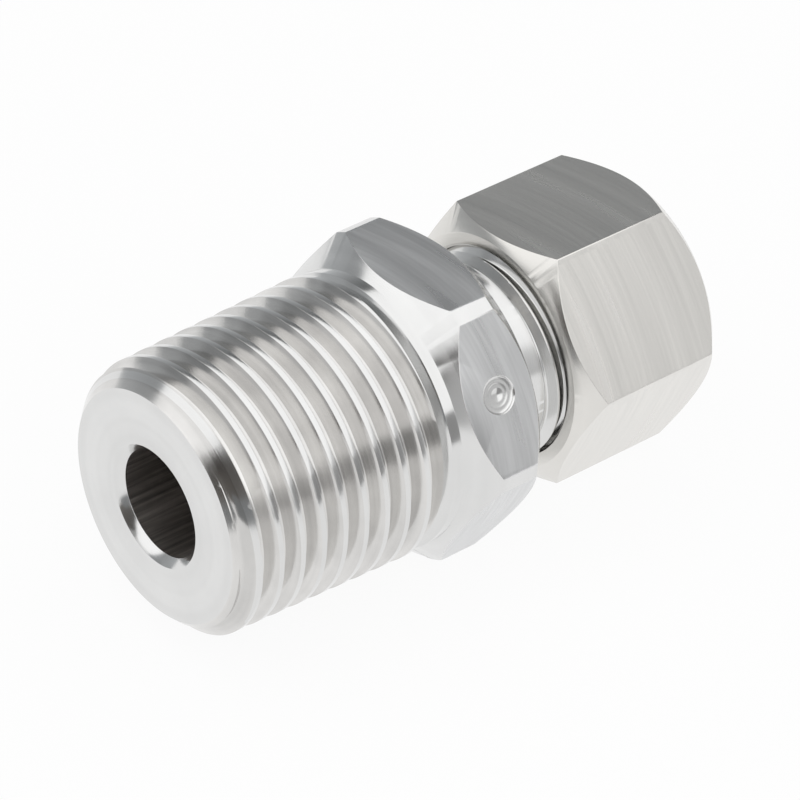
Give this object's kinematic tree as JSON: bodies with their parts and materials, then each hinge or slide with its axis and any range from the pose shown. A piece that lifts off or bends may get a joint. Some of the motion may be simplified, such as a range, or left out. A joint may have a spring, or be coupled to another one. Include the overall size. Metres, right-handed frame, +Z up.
{
  "type": "compression fitting for a temperature probe",
  "caption": "Stainless compression fitting: a hexagon body with a tapered pipe thread, a bore for a thin probe, a cutting ring and a nut that grips the probe.",
  "frame": {"origin": "centre of the bounding box's footprint, on the surface that the fitting lies on", "axes": "+X along the common axis from the pipe thread to the nut; +Z up, square to the body flat that it lies on"},
  "size_m": [0.0438, 0.025, 0.0222],
  "materials": {
    "turned_steel": "bright turned stainless steel, milled flats",
    "ring_steel": "turned stainless steel",
    "nut_steel": "satin stainless steel, slightly warm"
  },
  "bodies": {
    "body": {"fitting_body": "turned_steel"},
    "ring": {"cutting_ring": "ring_steel"},
    "nut": {"compression_nut": "nut_steel"}
  },
  "joints": [
    {"name": "ring_travel", "type": "slide", "parent": "body", "child": "ring", "axis": [1, 0, 0], "range_m": [0, 0.00525]},
    {"name": "nut_turn", "type": "hinge", "parent": "ring", "child": "nut", "pos_m": [0.0161, 0, 0.0111], "axis": [1, 0, 0], "range_deg": [0, 1260]}
  ],
  "couplings": [
    {"joint": "ring_travel", "follows": "nut_turn", "m_per_rad": 0.00023873}
  ]
}
